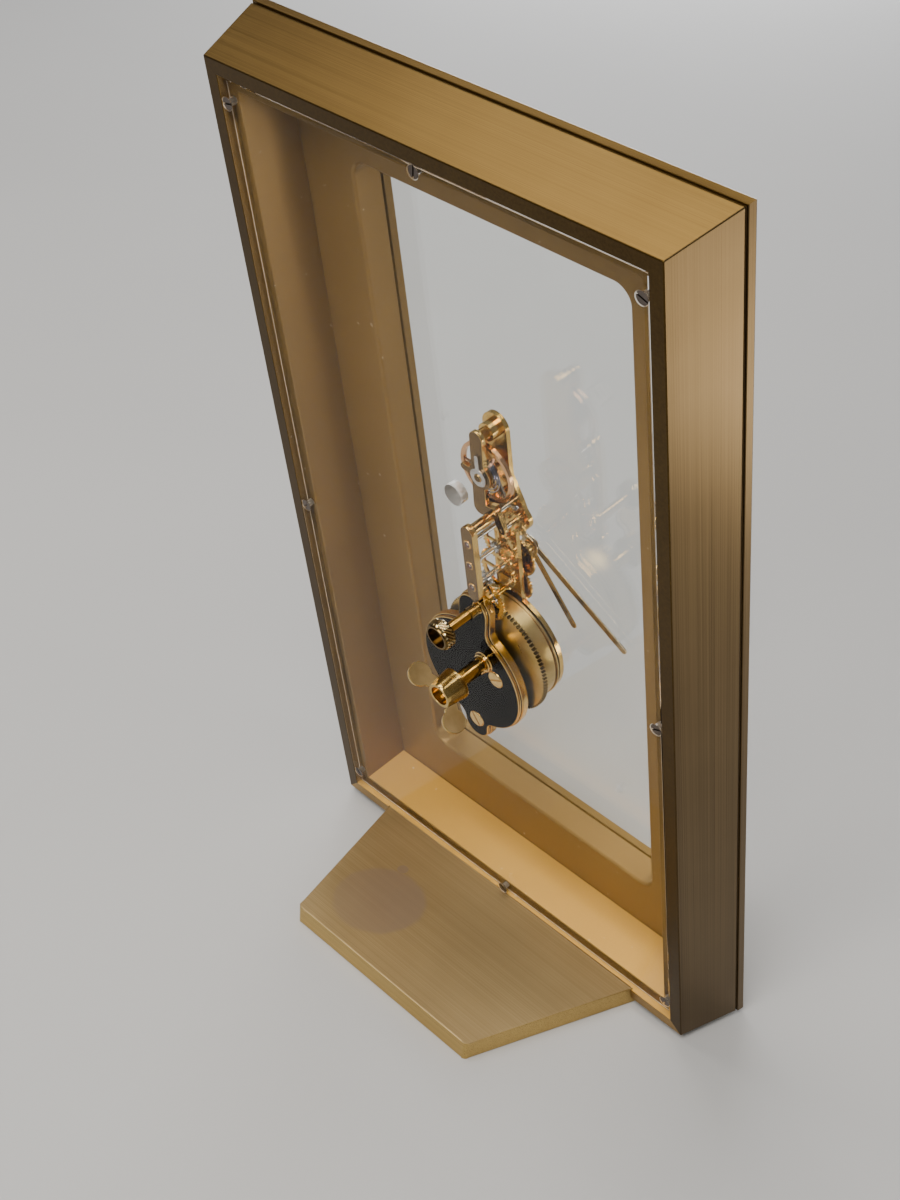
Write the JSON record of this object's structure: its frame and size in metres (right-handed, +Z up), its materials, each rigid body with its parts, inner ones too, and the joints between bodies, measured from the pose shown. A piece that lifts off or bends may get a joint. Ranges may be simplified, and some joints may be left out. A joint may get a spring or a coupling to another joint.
{
  "type": "pendulette clock",
  "caption": "Leaning table clock in a bevelled gilt case, with a wheel train in line behind glass, a clear rear cover, a winding key and a setting knob.",
  "frame": {"origin": "middle of the footprint on the table, under the stand plate", "axes": "+Z up, -Y towards the dial side, +X to the right seen from the front"},
  "size_m": [0.1352, 0.0716, 0.2349],
  "materials": {
    "gilt_brass": "brushed gilt",
    "gold_paint": "satin gold paint",
    "clear_cover": "clear acrylic",
    "window_glass": "clear glass",
    "polished_plate": "mirror polish",
    "gold_brass": "polished gilt",
    "steel": "polished steel",
    "blue_steel": "tempered spring steel",
    "screw_gilt": "turned gilt",
    "jewel": "polished jewel"
  },
  "bodies": {
    "case": {"case_frame": "gilt_brass", "front_bezel": "gilt_brass", "inner_mask": "gold_paint", "front_glass": "window_glass", "rear_cover": "clear_cover", "cover_screws": "screw_gilt", "stand_plate": "gilt_brass", "stand_screws": "steel", "main_plate": "gold_brass", "barrel_bridge": "polished_plate", "bridge_cover": "polished_plate", "bridge_pillars": "gold_brass", "bridge_screws": "screw_gilt", "train_bridge": "gold_brass", "train_jewels": "jewel", "train_pillar": "gold_brass", "balance_cock": "gold_brass", "cock_pillars": "gold_brass", "movement_feet": "gold_brass", "foot_screws": "screw_gilt", "hairspring": "blue_steel", "hairspring_stud": "steel"},
    "barrel": {"barrel_drum": "gold_brass", "barrel_lid": "gold_brass", "mainspring": "blue_steel"},
    "winding": {"barrel_arbor": "steel", "winding_key": "gold_brass", "ratchet_wheel": "steel"},
    "click": {"click": "steel"},
    "intermediate": {"intermediate_wheel": "gold_brass"},
    "centre": {"centre_wheel": "gold_brass"},
    "third": {"third_wheel": "gold_brass"},
    "fourth": {"fourth_wheel": "gold_brass"},
    "escape": {"escape_wheel": "steel"},
    "lever": {"pallet_lever": "steel"},
    "balance": {"balance_wheel": "gold_brass"},
    "regulator": {"regulator_index": "steel"},
    "setting": {"setting_stem": "gold_brass", "setting_knob": "gold_brass", "minute_wheel": "gold_brass"},
    "minute": {"cannon_pinion": "steel", "minute_hand": "gold_brass"},
    "hour": {"hour_wheel": "gold_brass", "hour_hand": "gold_brass"}
  },
  "joints": [
    {"name": "centre_turn", "type": "hinge", "parent": "case", "child": "centre", "pos_m": [0, 0.00006, 0.1169], "axis": [0, -0.977, 0.213], "continuous": true},
    {"name": "barrel_turn", "type": "hinge", "parent": "case", "child": "barrel", "pos_m": [0, -0.0037, 0.09213], "axis": [0, -0.977, 0.213], "continuous": true},
    {"name": "intermediate_turn", "type": "hinge", "parent": "case", "child": "intermediate", "pos_m": [0, 0.00306, 0.10908], "axis": [0, -0.977, 0.213], "continuous": true},
    {"name": "third_turn", "type": "hinge", "parent": "case", "child": "third", "pos_m": [0, 0.00013, 0.12379], "axis": [0, -0.977, 0.213], "continuous": true},
    {"name": "fourth_turn", "type": "hinge", "parent": "case", "child": "fourth", "pos_m": [0, -0.00045, 0.13052], "axis": [0, -0.977, 0.213], "continuous": true},
    {"name": "escape_turn", "type": "hinge", "parent": "case", "child": "escape", "pos_m": [-0.0055, 0.00222, 0.13336], "axis": [0, -0.977, 0.213], "continuous": true},
    {"name": "winding_turn", "type": "hinge", "parent": "case", "child": "winding", "pos_m": [0, 0.00607, 0.09], "axis": [0, -0.977, 0.213], "continuous": true},
    {"name": "click_lift", "type": "hinge", "parent": "case", "child": "click", "pos_m": [-0.0085, -0.00892, 0.10057], "axis": [0, -0.977, 0.213], "range_deg": [-12, 0], "stiffness_Nm_per_rad": 0.0001, "springref_deg": 5.73},
    {"name": "lever_rock", "type": "hinge", "parent": "case", "child": "lever", "pos_m": [-0.004, 0.003, 0.13742], "axis": [0, -0.977, 0.213], "range_deg": [-4, 4]},
    {"name": "balance_swing", "type": "hinge", "parent": "case", "child": "balance", "pos_m": [0, 0.0064, 0.1455], "axis": [0, -0.977, 0.213], "range_deg": [-270, 270], "stiffness_Nm_per_rad": 0.0000055},
    {"name": "regulator_turn", "type": "hinge", "parent": "case", "child": "regulator", "pos_m": [0, 0.00914, 0.14491], "axis": [0, -0.977, 0.213], "range_deg": [-20, 20]},
    {"name": "setting_turn", "type": "hinge", "parent": "case", "child": "setting", "pos_m": [0, 0.0099, 0.10759], "axis": [0, -0.977, 0.213], "continuous": true},
    {"name": "minute_turn", "type": "hinge", "parent": "case", "child": "minute", "pos_m": [0, -0.00815, 0.11869], "axis": [0, -0.977, 0.213], "continuous": true},
    {"name": "hour_turn", "type": "hinge", "parent": "case", "child": "hour", "pos_m": [0, -0.00815, 0.11869], "axis": [0, -0.977, 0.213], "continuous": true}
  ],
  "couplings": [
    {"joint": "barrel_turn", "follows": "centre_turn", "ratio": 0.041667},
    {"joint": "intermediate_turn", "follows": "centre_turn", "ratio": -0.33333},
    {"joint": "third_turn", "follows": "centre_turn", "ratio": -4},
    {"joint": "fourth_turn", "follows": "centre_turn", "ratio": 17.5},
    {"joint": "escape_turn", "follows": "centre_turn", "ratio": -83.125},
    {"joint": "minute_turn", "follows": "setting_turn", "ratio": -3},
    {"joint": "hour_turn", "follows": "setting_turn", "ratio": -0.25}
  ]
}
